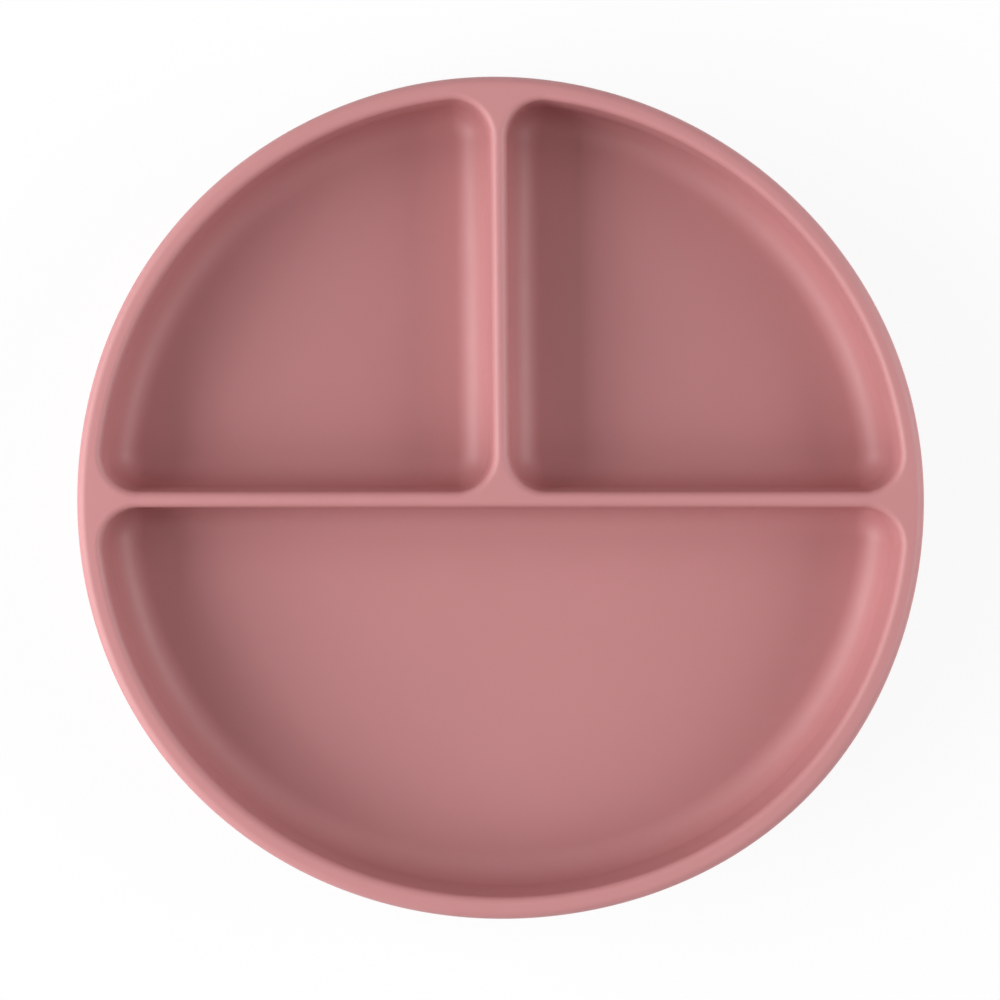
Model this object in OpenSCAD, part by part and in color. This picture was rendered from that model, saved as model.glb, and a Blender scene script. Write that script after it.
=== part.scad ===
// Round divided plate, moulded in one piece from silicone rubber.
// Two small compartments share one half and a large compartment fills the other.
// A suction foot under the floor holds it to the table. Lengths are in millimetres.
// The origin is the centre of the foot, on the table, and +Z is up.

/* [Plate] */
// Largest diameter, at the rim
plate_d = 190; // [160:1:230]
// Height from the table to the top of the rim
plate_h = 30; // [26:0.5:40]
// Width of the rim between its two sharp edges, before they are rounded
rim_w = 4.8; // [4.5:0.1:8]
// Radius on the rim's outer edge
rim_edge_r = 2.2; // [0.5:0.1:2.4]
// Lean of the outer wall, in degrees from upright
outer_draft = 8; // [0:0.5:15]
// Radius between the outer wall and the underside
base_r = 9; // [3:0.5:12]

/* [Compartments] */
// Turn of the short divider from the long one, which lies along X
divider_turn = 90; // [60:1:120]
// Width of a divider between its two sharp edges, before they are rounded
divider_w = 3.4; // [3.4:0.1:8]
// Thickness of the floor above the foot
floor_t = 3; // [1.5:0.1:5]
// Lean of the compartment walls, in degrees from upright
wall_draft = 2.5; // [2:0.5:12]
// Radius on the top edge of the dividers and on the rim's inner edge
lip_r = 1.7; // [0.5:0.1:1.7]
// Radius between the walls and the floor
floor_r = 7.2; // [2:0.1:9]
// Radius of each corner of the flat floor, which grows as the walls lean outward
corner_r = 0.6; // [0.3:0.1:6]

/* [Suction foot] */
// Height of the foot, from the table to the underside of the floor
foot_h = 5; // [4.5:0.1:8]
// Diameter of the suction lip
foot_d = 124; // [90:1:136]
// Thickness of the lip at its edge
foot_lip_t = 1.2; // [0.8:0.1:2]
// Width of the thin, flexible part of the lip
foot_lip_w = 10; // [6:0.5:16]
// Width of the flat land that seals on the table
foot_land_w = 1.2; // [0.8:0.1:3]
// Rise of the hollow under the foot, at its centre
foot_hollow_h = 2.6; // [1:0.1:3.5]
// Radius of the half-round groove between the lip and the underside
foot_groove_r = 1.6; // [1:0.1:1.6]

/* [Release tab] */
// Width of the tab that lifts the lip
tab_w = 18; // [10:1:30]
// How far the tab reaches past the lip
tab_l = 9; // [5:0.5:14]
// Thickness of the tab
tab_t = 1.8; // [1:0.1:2.4]
// Gap between the tab and the table
tab_gap = 0.4; // [0.2:0.1:1]

/* [Hidden] */

silicone = [0.80, 0.56, 0.57];
// Segments on a full circle as wide as the plate
circle_steps = 144;
// Segments on each rounded edge and corner
floor_steps = 7;
lip_steps = 5;
edge_steps = 8;
corner_steps = 8;
// How far a cut runs past the face that it opens
past = 1;
$fn = circle_steps;

// Height of the compartment floor, and depth from the rim down to it
floor_z = foot_h + floor_t;
pocket_depth = plate_h - floor_z;
// Radius at which the compartment walls would meet the top of the rim unrounded
pocket_r = plate_d / 2 - rim_w;
// Turn of the wall's section through a rounding, and the rounding's reach past a sharp edge
wall_turn = 90 - wall_draft;
lip_reach = lip_r * tan(wall_turn / 2);
// How far a compartment narrows on each side, from the sharp edge down to the flat floor
floor_inset = pocket_depth * tan(wall_draft) + floor_r * tan(wall_turn / 2);
// Corner radius at the sharp edge, about the same centre as the floor's corner
top_corner_r = floor_inset + corner_r;

// Points on an arc of n segments about c, between two angles
function arc(c, r, from, to, n) =
    [for (i = [0:n]) let (a = from + (to - from) * i / n) c + r * [cos(a), sin(a)]];

// Compartment wall in section, from the floor up: [inset from the sharp edge, height]
function wall_section() = concat(
    [for (i = [0:floor_steps])
        let (a = wall_turn * i / floor_steps)
        [floor_inset - floor_r * sin(a), floor_z + floor_r * (1 - cos(a))]],
    [for (i = [lip_steps:-1:0])
        let (a = wall_turn * i / lip_steps)
        [lip_r * sin(a) - lip_reach, plate_h - lip_r * (1 - cos(a))]],
    [[-lip_reach, plate_h + past]]
);

// Outline of a compartment whose two dividers stand sweep degrees apart, drawn anticlockwise.
// Its first divider lies along +X, and inset moves every side of the outline inward.
function outline(sweep, inset) =
    let (
        r = top_corner_r - inset,
        side = divider_w / 2 + top_corner_r,
        reach = pocket_r - top_corner_r,
        turn = asin(side / reach),
        near = reach * [cos(turn), sin(turn)],
        far = reach * [cos(sweep - turn), sin(sweep - turn)],
        hub = side / sin(sweep / 2) * [cos(sweep / 2), sin(sweep / 2)],
        rim_steps = round(circle_steps * sweep / 360)
    )
    concat(
        arc(near, r, -90, turn, corner_steps),
        [for (i = [1:rim_steps - 1])
            let (a = turn + (sweep - 2 * turn) * i / rim_steps)
            (reach + r) * [cos(a), sin(a)]],
        arc(far, r, sweep - turn, sweep + 90, corner_steps),
        sweep < 180 ? arc(hub, r, sweep + 90, 270, corner_steps) : []
    );

// Solid through a stack of rings that all have as many points
module loft(rings) {
    n = len(rings[0]);
    top = len(rings) - 1;
    polyhedron(
        points = [for (ring = rings, p = ring) p],
        faces = concat(
            [[for (i = [0:n - 1]) i]],
            [for (k = [0:top - 1], i = [0:n - 1])
                let (j = (i + 1) % n)
                [k * n + i, (k + 1) * n + i, (k + 1) * n + j, k * n + j]],
            [[for (i = [n - 1:-1:0]) top * n + i]]
        )
    );
}

// Hollow of the compartment between the divider at an angle and the next one
module compartment(angle, sweep) {
    rotate(angle)
        loft([for (s = wall_section()) [for (p = outline(sweep, s[0])) [p.x, p.y, s[1]]]]);
}

// The plate in section, without its compartments: foot, underside, outer wall and rim
module body_section() {
    lip_out = foot_d / 2;
    lip_c = [lip_out - foot_lip_t / 2, foot_lip_t / 2];
    land_in = lip_c.x - foot_land_w;
    hollow_r = (pow(land_in, 2) + pow(foot_hollow_h, 2)) / (2 * foot_hollow_h);
    groove_c = [lip_out - foot_lip_w + foot_groove_r, foot_h - foot_groove_r];
    rim_c = [plate_d / 2 - rim_edge_r, plate_h - rim_edge_r];
    // Where the outer wall would meet the underside unrounded
    heel_x = rim_c.x + rim_edge_r / cos(outer_draft) - (rim_c.y - foot_h) * tan(outer_draft);
    base_c = [heel_x - base_r * tan((90 - outer_draft) / 2), foot_h + base_r];
    polygon(concat(
        arc([0, foot_hollow_h - hollow_r], hollow_r, 90, acos(land_in / hollow_r), edge_steps),
        arc(lip_c, foot_lip_t / 2, -90, 90, edge_steps),
        arc(groove_c, foot_groove_r, 270, 90, edge_steps),
        arc(base_c, base_r, -90, -outer_draft, edge_steps),
        arc(rim_c, rim_edge_r, -outer_draft, 90, edge_steps),
        [[0, plate_h]]
    ));
}

// Rounded tongue on the lip, under the large compartment, that peels the foot off the table
module release_tab() {
    tip_r = tab_w / 2;
    tip_y = tip_r - tab_l - foot_d / 2;
    translate([0, 0, tab_gap])
        linear_extrude(tab_t)
            difference() {
                union() {
                    translate([0, tip_y]) circle(tip_r);
                    translate([-tip_r, tip_y]) square([tab_w, -tip_y]);
                }
                circle((foot_d - foot_lip_w) / 2);
            }
}

module plate() {
    color(silicone)
        difference() {
            union() {
                rotate_extrude() body_section();
                release_tab();
            }
            compartment(0, divider_turn);
            compartment(divider_turn, 180 - divider_turn);
            compartment(180, 180);
        }
}

plate();
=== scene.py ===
"""Divided silicone plate on a white table, under soft studio lamps.

Lengths are in metres and angles in degrees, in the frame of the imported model: the origin is on the
table under the plate's centre, +Z is up, the long divider lies along X and the short one along +Y.
"""
import math

import bmesh
import bpy
import numpy as np
from mathutils import Matrix, Vector


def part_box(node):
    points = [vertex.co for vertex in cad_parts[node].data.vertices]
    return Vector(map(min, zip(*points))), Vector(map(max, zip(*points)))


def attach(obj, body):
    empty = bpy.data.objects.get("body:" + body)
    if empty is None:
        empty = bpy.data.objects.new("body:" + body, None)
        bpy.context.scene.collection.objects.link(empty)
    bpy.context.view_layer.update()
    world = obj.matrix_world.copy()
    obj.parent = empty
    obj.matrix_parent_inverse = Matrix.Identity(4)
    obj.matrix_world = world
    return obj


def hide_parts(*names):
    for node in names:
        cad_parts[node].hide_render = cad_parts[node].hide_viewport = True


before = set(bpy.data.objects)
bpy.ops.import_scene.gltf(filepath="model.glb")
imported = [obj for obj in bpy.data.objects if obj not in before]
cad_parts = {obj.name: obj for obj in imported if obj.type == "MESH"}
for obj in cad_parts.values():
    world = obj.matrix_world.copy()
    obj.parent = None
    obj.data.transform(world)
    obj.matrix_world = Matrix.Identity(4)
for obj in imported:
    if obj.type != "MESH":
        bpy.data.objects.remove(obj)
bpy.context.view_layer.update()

MM = 0.001

# Plate
PLATE_D = 190 * MM
PLATE_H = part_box("plate")[1].z
RIM_W = 4.8 * MM
RIM_EDGE_R = 2.2 * MM
OUTER_DRAFT = 8
BASE_R = 9 * MM

# Compartments
DIVIDER_W = 3.4 * MM
WALL_DRAFT = 2.5
LIP_R = 1.7 * MM
FLOOR_R = 7.2 * MM
CORNER_R = 0.6 * MM
FLOOR_T = 3 * MM

# Suction foot and its release tab
FOOT_H = 5 * MM
FOOT_D = 124 * MM
FOOT_LIP_T = 1.2 * MM
FOOT_LIP_W = 10 * MM
FOOT_LAND_W = 1.2 * MM
FOOT_HOLLOW_H = 2.6 * MM
FOOT_GROOVE_R = 1.6 * MM
TAB_W = 18 * MM
TAB_L = 9 * MM
TAB_T = 1.8 * MM
TAB_GAP = 0.4 * MM

# Steps along each stretch of the mesh
CORNER_STEPS = 16
QUARTER_RIM_STEPS = 72
HALF_RIM_STEPS = 150
SIDE_STEPS = 36
FLOOR_STEPS = 18
WALL_STEPS = 5
LIP_STEPS = 12
BODY_ARC_STEPS = 12
TAB_STEPS = 24
# Where the rings lie between the first and last of a surface, as shares of the way
FLOOR_SHARES = (0.04, 0.3, 0.6, 0.85, 0.97)
UNDERSIDE_SHARES = (0.25, 0.5, 0.75)
FOOT_LIP_SHARES = (0.25, 0.5, 0.75, 0.95)
HOLLOW_SHARES = (0.97, 0.9, 0.8, 0.7, 0.6, 0.5, 0.4, 0.3, 0.2, 0.1, 0.03)
# The large compartment's floor closes on a line this long, as a share of its width
CLOSING_LINE = 0.5
# Points nearer than this are one point
WELD = 0.002 * MM
# Edges that turn more than this are shaded as creases
SHARP_ANGLE = 35
# Turn of each compartment about +Z, and the angle between its two dividers
COMPARTMENTS = ((0, 90), (90, 90), (180, 180))

# Waves of the slack rim: how many round the plate, their height, and the angle of a crest
RIM_WAVES = (
    (2, 0.50 * MM, -29),
    (3, 0.29 * MM, -29),
    (4, 0.23 * MM, 44),
    (5, 0.10 * MM, 15),
    (6, 0.08 * MM, 19),
)
# The mould's core sits a little off the middle of the rim. The dividers are shifted a little more,
# which fades over LEAN_REACH, and the short one leans by this slope.
CORE_SHIFT = (0.15 * MM, 0.30 * MM)
HUB_X = -0.08 * MM
HUB_Y = 0.15 * MM
DIVIDER_LEAN = -0.010
LEAN_REACH = 40 * MM

# Derived sizes
floor_z = FOOT_H + FLOOR_T
pocket_r = PLATE_D / 2 - RIM_W
web_r = PLATE_D / 2 - RIM_EDGE_R
wall_turn = math.radians(90 - WALL_DRAFT)
lip_reach = LIP_R * math.tan(wall_turn / 2)
wall_slope = math.tan(math.radians(WALL_DRAFT))
floor_inset = (PLATE_H - floor_z) * wall_slope + FLOOR_R * math.tan(wall_turn / 2)
top_corner_r = floor_inset + CORNER_R
corner_side = DIVIDER_W / 2 + top_corner_r
corner_reach = pocket_r - top_corner_r
corner_turn = math.degrees(math.asin(corner_side / corner_reach))
corner_x = math.sqrt(corner_reach**2 - corner_side**2)

# Centres of the roundings of the outer wall and foot in section: distance from the axis, height
rim_c = (web_r, PLATE_H - RIM_EDGE_R)
outer_turn = math.radians(OUTER_DRAFT)
heel_x = web_r + RIM_EDGE_R / math.cos(outer_turn) - (rim_c[1] - FOOT_H) * math.tan(outer_turn)
base_c = (heel_x - BASE_R * math.tan((math.pi / 2 - outer_turn) / 2), FOOT_H + BASE_R)
groove_c = (FOOT_D / 2 - FOOT_LIP_W + FOOT_GROOVE_R, FOOT_H - FOOT_GROOVE_R)
land_out = FOOT_D / 2 - FOOT_LIP_T / 2
land_in = land_out - FOOT_LAND_W
hollow_r = (land_in**2 + FOOT_HOLLOW_H**2) / (2 * FOOT_HOLLOW_H)


def polar(r, angle):
    """Point or points at a radius and an angle."""
    a = np.radians(angle)
    return np.stack([r * np.cos(a), r * np.sin(a)], axis=-1)


def arc(centre, r, start, end, steps):
    """Points on an arc, both ends included."""
    return np.asarray(centre) + polar(r, np.linspace(start, end, steps + 1))


def rim_steps(sweep):
    """Steps of the mesh along a compartment's curved side."""
    return QUARTER_RIM_STEPS if sweep < 180 else HALF_RIM_STEPS


def stations():
    """Distances from the hub along a divider: its near corner, its straight and its far corner."""
    hub = np.linspace(0, corner_side, CORNER_STEPS // 2 + 1)
    side = np.linspace(corner_side, corner_x, SIDE_STEPS + 1)
    end = np.linspace(corner_x, web_r, CORNER_STEPS // 2 + 1)
    return hub, side, end


def outline(sweep, inset):
    """A compartment's outline, anticlockwise from its first divider, which lies along +X.

    Returns the ring at that inset, and the point on the middle line of the rim or divider that each
    of its points faces.
    """
    hub, side, end = stations()
    half = CORNER_STEPS // 2
    r = top_corner_r - inset
    side_y = DIVIDER_W / 2 + inset
    near = polar(corner_reach, corner_turn)
    far = polar(corner_reach, sweep - corner_turn)
    rim = np.linspace(corner_turn, sweep - corner_turn, rim_steps(sweep) + 1)
    first = np.linspace(0, corner_turn, half + 1)
    last = sweep - first[::-1]
    along_far = polar(1, sweep)

    ring = [arc(near, r, -90, corner_turn, CORNER_STEPS)[:-1], polar(pocket_r - inset, rim)[:-1]]
    ring += [arc(far, r, sweep - corner_turn, sweep + 90, CORNER_STEPS)[:-1]]
    web = [np.outer(end[:-1], (1, 0)), polar(web_r, first)[:-1], polar(web_r, rim)[:-1]]
    web += [polar(web_r, last)[:-1], np.outer(end[::-1][:-1], along_far)]
    if sweep < 180:
        hub_c = polar(corner_side / math.sin(math.radians(sweep / 2)), sweep / 2)
        inward = polar(1, sweep - 90)
        ring += [np.outer(side[::-1][:-1], along_far) + side_y * inward]
        ring += [arc(hub_c, r, sweep + 90, 270, CORNER_STEPS)[:-1]]
        ring += [np.stack([side[:-1], np.full(SIDE_STEPS, side_y)], axis=-1)]
        web += [np.outer(side[::-1][:-1], along_far), np.outer(hub[::-1][:-1], along_far)]
        web += [np.outer(hub[:-1], (1, 0)), np.outer(side[:-1], (1, 0))]
    else:
        right = np.concatenate([hub[:-1], side])
        x = np.concatenate([-right[::-1], right[1:-1]])
        ring += [np.stack([x, np.full(len(x), side_y)], axis=-1)]
        web += [np.outer(x, (1, 0))]
    return np.concatenate(ring), np.concatenate(web)


def wall_section():
    """A compartment wall in section, from the floor up: (inset, height)."""
    up = np.linspace(0, wall_turn, FLOOR_STEPS + 1)
    over = np.linspace(wall_turn, 0, LIP_STEPS + 1)
    floor = np.stack([floor_inset - FLOOR_R * np.sin(up), floor_z + FLOOR_R * (1 - np.cos(up))], 1)
    lip = np.stack([LIP_R * np.sin(over) - lip_reach, PLATE_H - LIP_R * (1 - np.cos(over))], 1)
    share = np.linspace(0, 1, WALL_STEPS + 1)[1:-1, None]
    wall = floor[-1] * (1 - share) + lip[0] * share
    return np.concatenate([floor, wall, lip])


class Skin:
    """Vertices and faces gathered patch by patch."""

    def __init__(self):
        self.points = []
        self.faces = []

    def add(self, points):
        """Adds points and returns their numbers."""
        start = len(self.points)
        self.points.extend(map(tuple, points))
        return list(range(start, len(self.points)))

    def bridge(self, first, second):
        """Quads between two closed rings of as many points, facing up where the second is wider."""
        n = len(first)
        for i in range(n):
            j = (i + 1) % n
            self.faces.append((first[i], second[i], second[j], first[j]))


def at_height(ring, z):
    """A flat ring of points at a height, or at a height for each point."""
    return np.column_stack([ring, np.broadcast_to(z, len(ring))])


def add_compartment(skin, turn, sweep):
    """One compartment: floor, wall, lip and its share of the flat top of rim and dividers."""
    spin = polar(1, (turn, turn + 90))
    section = wall_section()
    edge = outline(sweep, section[0][0])[0]
    # The floor closes in rings on its middle: a point, or a short line in the large compartment
    core = np.repeat(edge.mean(axis=0)[None], len(edge), axis=0)
    if sweep == 180:
        half_line = np.ptp(edge[:, 0]) * CLOSING_LINE / 2
        core[:, 0] = np.clip(edge[:, 0], -half_line, half_line)
    rings = [(core + (edge - core) * share, floor_z) for share in FLOOR_SHARES]
    rings += [(outline(sweep, inset)[0], z) for inset, z in section]
    rings = [skin.add(at_height(ring @ spin + CORE_SHIFT, z)) for ring, z in rings]
    # The middle line of the dividers moves with the core too, but not where it meets the rim's
    web = outline(sweep, 0)[1] @ spin
    moved = np.clip((web_r - np.hypot(*web.T)) / (web_r - corner_x), 0, 1)
    rings += [skin.add(at_height(web + np.outer(moved, CORE_SHIFT), PLATE_H))]
    skin.faces.append(tuple(rings[0]))
    for first, second in zip(rings, rings[1:]):
        skin.bridge(first, second)


def rim_angles():
    """Angles of the points round the rim at which the compartments' webs end."""
    angles = []
    for turn, sweep in COMPARTMENTS:
        first = np.linspace(0, corner_turn, CORNER_STEPS // 2 + 1)
        rim = np.linspace(corner_turn, sweep - corner_turn, rim_steps(sweep) + 1)
        angles += [turn + first[:-1], turn + rim[:-1], turn + sweep - first[:0:-1]]
    return np.concatenate(angles)


def tab_outline(angles):
    """Angles round the foot, closer together at its tab, and the tab's reach at each of them."""
    count = len(angles)
    middle = int(np.argmin(abs(angles - 270)))
    half = TAB_STEPS // 2
    phase = np.linspace(-90, 90, TAB_STEPS + 1)
    half_width = math.degrees(math.asin(TAB_W / FOOT_D))
    on_tab = 270 + half_width * np.sin(np.radians(phase))
    rest = np.linspace(on_tab[-1], on_tab[0] + 360, count - TAB_STEPS + 1)[1:-1]
    shifted = np.roll(np.concatenate([on_tab, rest]), middle - half)
    shifted[: middle - half] -= 360
    reach = np.roll(np.concatenate([TAB_L * np.cos(np.radians(phase)), 0 * rest]), middle - half)
    return shifted, reach


def wall_rings(rim):
    """Rings of the rim's outer edge, the outer wall and its rounding into the underside."""
    edge = arc(rim_c, RIM_EDGE_R, 90, -OUTER_DRAFT, BODY_ARC_STEPS)
    heel = arc(base_c, BASE_R, -OUTER_DRAFT, -90, BODY_ARC_STEPS)
    share = np.linspace(0, 1, WALL_STEPS + 1)[1:-1, None]
    wall = edge[-1] * (1 - share) + heel[0] * share
    return [(r, z, rim) for r, z in np.concatenate([edge, wall, heel])]


def underside_rings(rim, foot):
    """Rings of the flat underside, whose points drift to places round the foot, and of its groove."""
    rings = []
    for share in UNDERSIDE_SHARES:
        r = base_c[0] * (1 - share) + groove_c[0] * share
        rings.append((r, FOOT_H, rim * (1 - share) + foot * share))
    groove = arc(groove_c, FOOT_GROOVE_R, 90, 270, BODY_ARC_STEPS)
    return rings + [(r, z, foot) for r, z in groove]


def foot_lip_rings(foot, tab):
    """Rings of the suction lip, drawn out and thickened where the tab is, and rounded at its edge."""
    grown = tab / TAB_L
    half_t = (FOOT_LIP_T + (TAB_T - FOOT_LIP_T) * grown) / 2
    edge_r = FOOT_D / 2 + tab - half_t
    edge_z = TAB_GAP * grown + half_t
    start_z = FOOT_H - 2 * FOOT_GROOVE_R
    rings = []
    for share in FOOT_LIP_SHARES:
        r = groove_c[0] * (1 - share) + edge_r * share
        rings.append((r, start_z * (1 - share) + (edge_z + half_t) * share, foot))
    for across, up in polar(1, np.linspace(90, -90, BODY_ARC_STEPS + 1)):
        rings.append((edge_r + half_t * across, edge_z + half_t * up, foot))
    return rings


def hollow_rings(foot):
    """Rings of the land that seals on the table, and of the hollow, which is part of a sphere."""
    rings = [(land_out - FOOT_LAND_W / 4, 0, foot), (land_in, 0, foot)]
    for r in land_in * np.array(HOLLOW_SHARES):
        rings.append((r, FOOT_HOLLOW_H - hollow_r + math.sqrt(hollow_r**2 - r**2), foot))
    return rings


def add_body(skin):
    """Outer edge of the rim, outer wall, underside, suction foot and release tab."""
    rim = rim_angles()
    foot, tab = tab_outline(rim)
    rings = wall_rings(rim) + underside_rings(rim, foot)
    rings += foot_lip_rings(foot, tab) + hollow_rings(foot)
    rings = [skin.add(at_height(polar(r, angles), z)) for r, z, angles in rings]
    for first, second in zip(rings, rings[1:]):
        skin.bridge(first, second)
    skin.faces.append(tuple(rings[-1][::-1]))


def settle(points):
    """The slack shape that the soft moulding takes, out of round and with its short divider aslant."""
    x, y, z = points.T
    r = np.hypot(x, y)
    angle = np.degrees(np.arctan2(y, x))
    stretch = np.zeros(len(points))
    for count, height, crest in RIM_WAVES:
        share = (r / web_r) ** (count - 2)
        stretch += height / web_r * share * np.cos(np.radians(count * (angle - crest)))
    aside = (HUB_X + DIVIDER_LEAN * np.maximum(y, 0)) * np.exp(-((x / LEAN_REACH) ** 2))
    back = HUB_Y * np.exp(-((y / LEAN_REACH) ** 2))
    return np.stack([x * (1 + stretch) + aside, y * (1 + stretch) + back, z], axis=-1)


def make_plate():
    """The whole moulding as one closed mesh."""
    skin = Skin()
    for turn, sweep in COMPARTMENTS:
        add_compartment(skin, turn, sweep)
    add_body(skin)
    mesh = bpy.data.meshes.new("silicone_plate")
    mesh.from_pydata(settle(np.array(skin.points)).tolist(), [], skin.faces)
    joined = bmesh.new()
    joined.from_mesh(mesh)
    bmesh.ops.remove_doubles(joined, verts=joined.verts, dist=WELD)
    joined.to_mesh(mesh)
    joined.free()
    mesh.shade_smooth()
    mesh.set_sharp_from_angle(angle=math.radians(SHARP_ANGLE))
    piece = bpy.data.objects.new("silicone_plate", mesh)
    bpy.context.collection.objects.link(piece)
    weighted = piece.modifiers.new("flat faces keep flat shading", "WEIGHTED_NORMAL")
    weighted.keep_sharp = True
    return piece


plate = make_plate()
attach(plate, "root")
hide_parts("plate")


# Camera: nearly straight down, a little behind the plate's middle and to its left
CAMERA_HEIGHT = 900 * MM
CAMERA_X = -19 * MM
CAMERA_Y = 37 * MM
AIM_X = -0.33 * MM
AIM_Y = 0.385 * MM
FRAME_W = 223.76 * MM
SENSOR = 36


def make_camera():
    """Looks down on the middle of the rim from the photograph's distance."""
    data = bpy.data.cameras.new("camera")
    camera = bpy.data.objects.new("camera", data)
    bpy.context.collection.objects.link(camera)
    target = Vector((AIM_X, AIM_Y, PLATE_H))
    camera.location = (CAMERA_X, CAMERA_Y, PLATE_H + CAMERA_HEIGHT)
    away = camera.location - target
    side = Vector((1, 0, 0))
    side = (side - side.dot(away) / away.length_squared * away).normalized()
    up = away.normalized().cross(side)
    camera.rotation_euler = Matrix((side, up, away.normalized())).transposed().to_euler()
    data.sensor_width = SENSOR
    data.lens = SENSOR * away.length / FRAME_W
    bpy.context.scene.camera = camera


make_camera()


# Soft lamps round the plate: azimuth from +X, angle above the table, width and height in metres, watts
LAMPS = {
    "key": (180, 34, 1.4, 0.8, 16.9),
    "side_key": (215, 33, 1.2, 0.7, 3.3),
    "low_key": (198, 12, 1.2, 0.5, 3.1),
    "fill": (0, 35, 1.1, 0.7, 8.3),
    "low_fill": (20, 12, 1.2, 0.5, 3.8),
    "top": (180, 62, 0.9, 0.7, 0.9),
}
LAMP_DISTANCE = 1.25


def make_lamp(name, azimuth, rise, width, height, power):
    """A soft rectangular lamp that faces the plate."""
    data = bpy.data.lights.new(name, "AREA")
    data.shape = "RECTANGLE"
    data.size = width
    data.size_y = height
    data.energy = power
    lamp = bpy.data.objects.new(name, data)
    bpy.context.collection.objects.link(lamp)
    across, up = polar(LAMP_DISTANCE, rise)
    x, y = polar(across, azimuth)
    lamp.location = (x, y, up)
    lamp.rotation_euler = lamp.location.to_track_quat("Z", "Y").to_euler()


for lamp_name, settings in LAMPS.items():
    make_lamp(lamp_name, *settings)


# Silicone: base colour in linear light, how far noise moves it, its roughness and its surface.
# The tops of rim and dividers are a little smoother than the rest, and lighter in colour: painted
# light that brightens them.
ROSE = (0.505, 0.220, 0.225)
MOTTLE = 0.012
MOTTLE_SIZE = 18 * MM
MOTTLE_DETAIL = 3
ROUGHNESS = 0.46
ROUGHNESS_SPREAD = 0.03
ROUGHNESS_DETAIL = 4
SPECULAR = 0.4
SMOOTH_PAINTED_TOPS_FROM = PLATE_H - 2.5 * MM
SMOOTH_PAINTED_TOPS_FULL = PLATE_H - 0.7 * MM
TOP_PAINTED_LIGHT = 1.12
RUBBED_ROUGHNESS = 0.42
# Range of the noise nodes' output
NOISE_SPAN = (0.3, 0.7)
GRAIN_SIZE = 0.35 * MM
GRAIN_DEPTH = 0.003 * MM
RIPPLE_SIZE = 6 * MM
RIPPLE_DEPTH = 0.004 * MM
BUMP_DETAIL = 2


def new_material(name):
    """A node material, with its tree, its shader and the function that links two of its sockets."""
    material = bpy.data.materials.new(name)
    material.use_nodes = True
    tree = material.node_tree
    return material, tree, tree.nodes["Principled BSDF"], tree.links.new


def noise(tree, size, detail):
    """Noise in the object's own space, whose patches are about as large as size."""
    place = tree.nodes.new("ShaderNodeTexCoord")
    texture = tree.nodes.new("ShaderNodeTexNoise")
    texture.inputs["Scale"].default_value = 1 / size
    texture.inputs["Detail"].default_value = detail
    tree.links.new(place.outputs["Object"], texture.inputs["Vector"])
    return texture.outputs["Fac"]


def remap(tree, value, span, low, high, ease="LINEAR"):
    """A value whose span becomes low to high, and which stays there beyond it."""
    ramp = tree.nodes.new("ShaderNodeMapRange")
    ramp.interpolation_type = ease
    ramp.inputs["From Min"].default_value, ramp.inputs["From Max"].default_value = span
    ramp.inputs["To Min"].default_value = low
    ramp.inputs["To Max"].default_value = high
    tree.links.new(value, ramp.inputs["Value"])
    return ramp.outputs["Result"]


def combine(tree, operation, first, second):
    """Two values put together by a Math node."""
    node = tree.nodes.new("ShaderNodeMath")
    node.operation = operation
    tree.links.new(first, node.inputs[0])
    tree.links.new(second, node.inputs[1])
    return node.outputs[0]


def smooth_painted_tops(tree):
    """0 on the walls and floors, rising to 1 on the tops of rim and dividers, which are smoother and
    lighter with painted light.
    """
    place = tree.nodes.new("ShaderNodeTexCoord")
    split = tree.nodes.new("ShaderNodeSeparateXYZ")
    tree.links.new(place.outputs["Object"], split.inputs[0])
    return remap(tree, split.outputs["Z"], (SMOOTH_PAINTED_TOPS_FROM, SMOOTH_PAINTED_TOPS_FULL), 0, 1, "SMOOTHSTEP")


def make_silicone():
    """Matte rubber from a finely blasted mould."""
    material, tree, shader, link = new_material("silicone")
    smooth_painted_tops_mask = smooth_painted_tops(tree)
    patches = noise(tree, MOTTLE_SIZE, MOTTLE_DETAIL)
    mottle = remap(tree, patches, NOISE_SPAN, 1 - MOTTLE, 1 + MOTTLE)
    # Painted light: the tops of rim and dividers are made lighter in colour, as though more light fell
    # on them.
    painted_top_light = remap(tree, smooth_painted_tops_mask, (0, 1), 1, TOP_PAINTED_LIGHT)
    tint = tree.nodes.new("ShaderNodeHueSaturation")
    tint.inputs["Color"].default_value = (*ROSE, 1)
    link(combine(tree, "MULTIPLY", mottle, painted_top_light), tint.inputs["Value"])
    link(tint.outputs["Color"], shader.inputs["Base Color"])
    smooth = remap(tree, smooth_painted_tops_mask, (0, 1), ROUGHNESS, RUBBED_ROUGHNESS)
    patches = noise(tree, RIPPLE_SIZE, ROUGHNESS_DETAIL)
    uneven = remap(tree, patches, NOISE_SPAN, -ROUGHNESS_SPREAD, ROUGHNESS_SPREAD)
    link(combine(tree, "ADD", smooth, uneven), shader.inputs["Roughness"])
    shader.inputs["Specular IOR Level"].default_value = SPECULAR
    surface = None
    for size, depth in ((RIPPLE_SIZE, RIPPLE_DEPTH), (GRAIN_SIZE, GRAIN_DEPTH)):
        bump = tree.nodes.new("ShaderNodeBump")
        bump.inputs["Distance"].default_value = depth
        link(noise(tree, size, BUMP_DETAIL), bump.inputs["Height"])
        if surface:
            link(surface, bump.inputs["Normal"])
        surface = bump.outputs["Normal"]
    link(surface, shader.inputs["Normal"])
    return material


plate.data.materials.append(make_silicone())

# Table and surroundings. The table reaches this far from the plate on each side, a hair below it.
# SHADOW_SHARE is how much of the lamps' light and shade on it the eye sees, and ROOM_LIGHT is how
# bright the white room is to everything but the eye.
FLOOR_COLOUR = 0.95
FLOOR_ROUGHNESS = 0.8
FLOOR_REACH = 6
FLOOR_Z = -0.02 * MM
SHADOW_SHARE = 0.10
ROOM_LIGHT = 0.03


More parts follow.
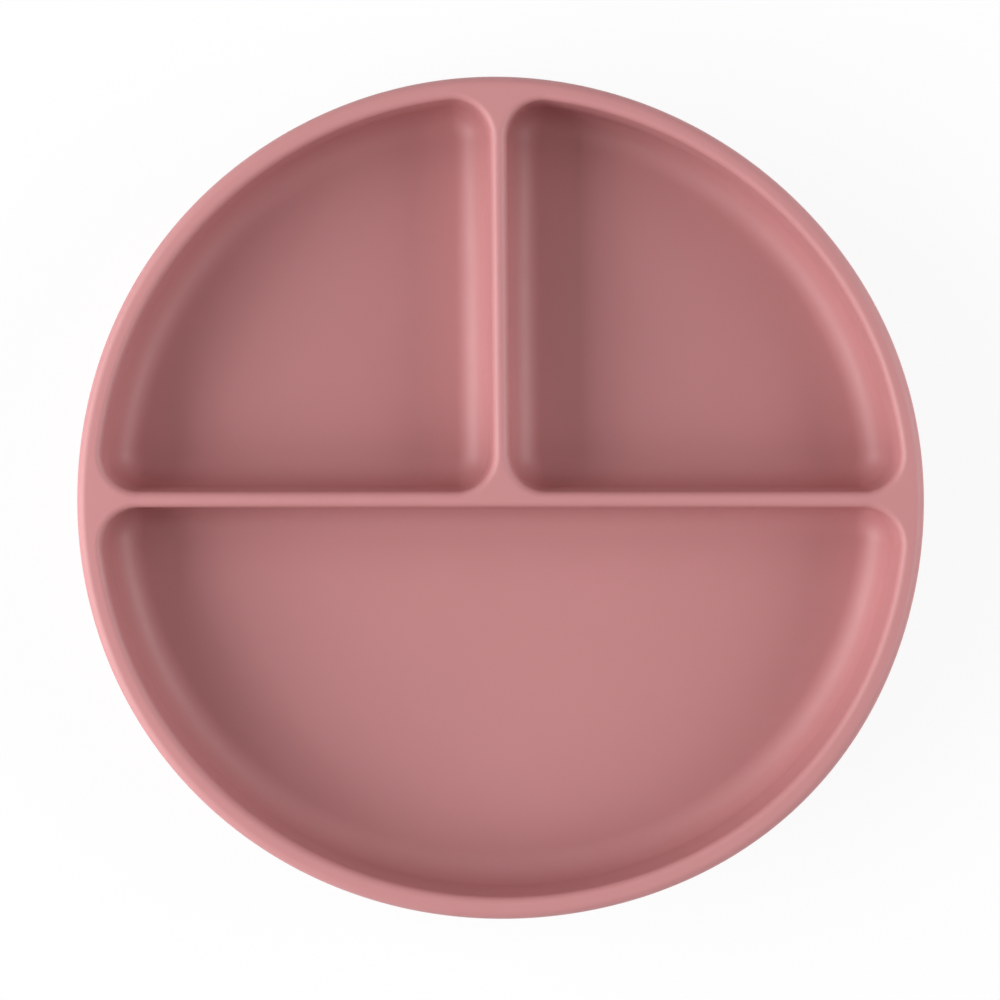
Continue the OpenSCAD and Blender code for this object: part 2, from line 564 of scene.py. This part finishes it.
def seen(tree):
    """1 for what the eye sees, straight or by way of gloss or glass, and 0 for other light."""
    path = tree.nodes.new("ShaderNodeLightPath")
    total = path.outputs["Is Camera Ray"]
    for ray in ("Is Glossy Ray", "Is Transmission Ray"):
        total = combine(tree, "MAXIMUM", total, path.outputs[ray])
    return total


def make_floor():
    """A white table that keeps a faint shadow."""
    mesh = bpy.data.meshes.new("floor")
    corners = polar(math.sqrt(2) * FLOOR_REACH, np.array([225, 315, 45, 135]))
    mesh.from_pydata(at_height(corners, FLOOR_Z).tolist(), [], [range(4)])
    floor = bpy.data.objects.new("floor", mesh)
    bpy.context.collection.objects.link(floor)
    material, tree, shader, link = new_material("floor")
    shader.inputs["Base Color"].default_value = (FLOOR_COLOUR, FLOOR_COLOUR, FLOOR_COLOUR, 1)
    shader.inputs["Roughness"].default_value = FLOOR_ROUGHNESS
    white = tree.nodes.new("ShaderNodeEmission")
    share = tree.nodes.new("ShaderNodeMath")
    share.operation = "MULTIPLY"
    share.inputs[1].default_value = 1 - SHADOW_SHARE
    mix = tree.nodes.new("ShaderNodeMixShader")
    link(seen(tree), share.inputs[0])
    link(share.outputs[0], mix.inputs[0])
    link(shader.outputs[0], mix.inputs[1])
    link(white.outputs[0], mix.inputs[2])
    link(mix.outputs[0], tree.nodes["Material Output"].inputs["Surface"])
    # The white is for the eye alone, so the light on the plate isn't looked for there
    material.cycles.emission_sampling = "NONE"
    mesh.materials.append(material)


def make_world():
    """A white room to the eye, whose light on the object is faint."""
    world = bpy.data.worlds.new("world")
    bpy.context.scene.world = world
    world.use_nodes = True
    tree = world.node_tree
    background = tree.nodes["Background"]
    background.inputs["Color"].default_value = (1, 1, 1, 1)
    strength = tree.nodes.new("ShaderNodeMapRange")
    strength.inputs["To Min"].default_value = ROOM_LIGHT
    tree.links.new(seen(tree), strength.inputs["Value"])
    tree.links.new(strength.outputs["Result"], background.inputs["Strength"])


make_floor()
make_world()
bpy.context.scene.view_settings.view_transform = "Standard"
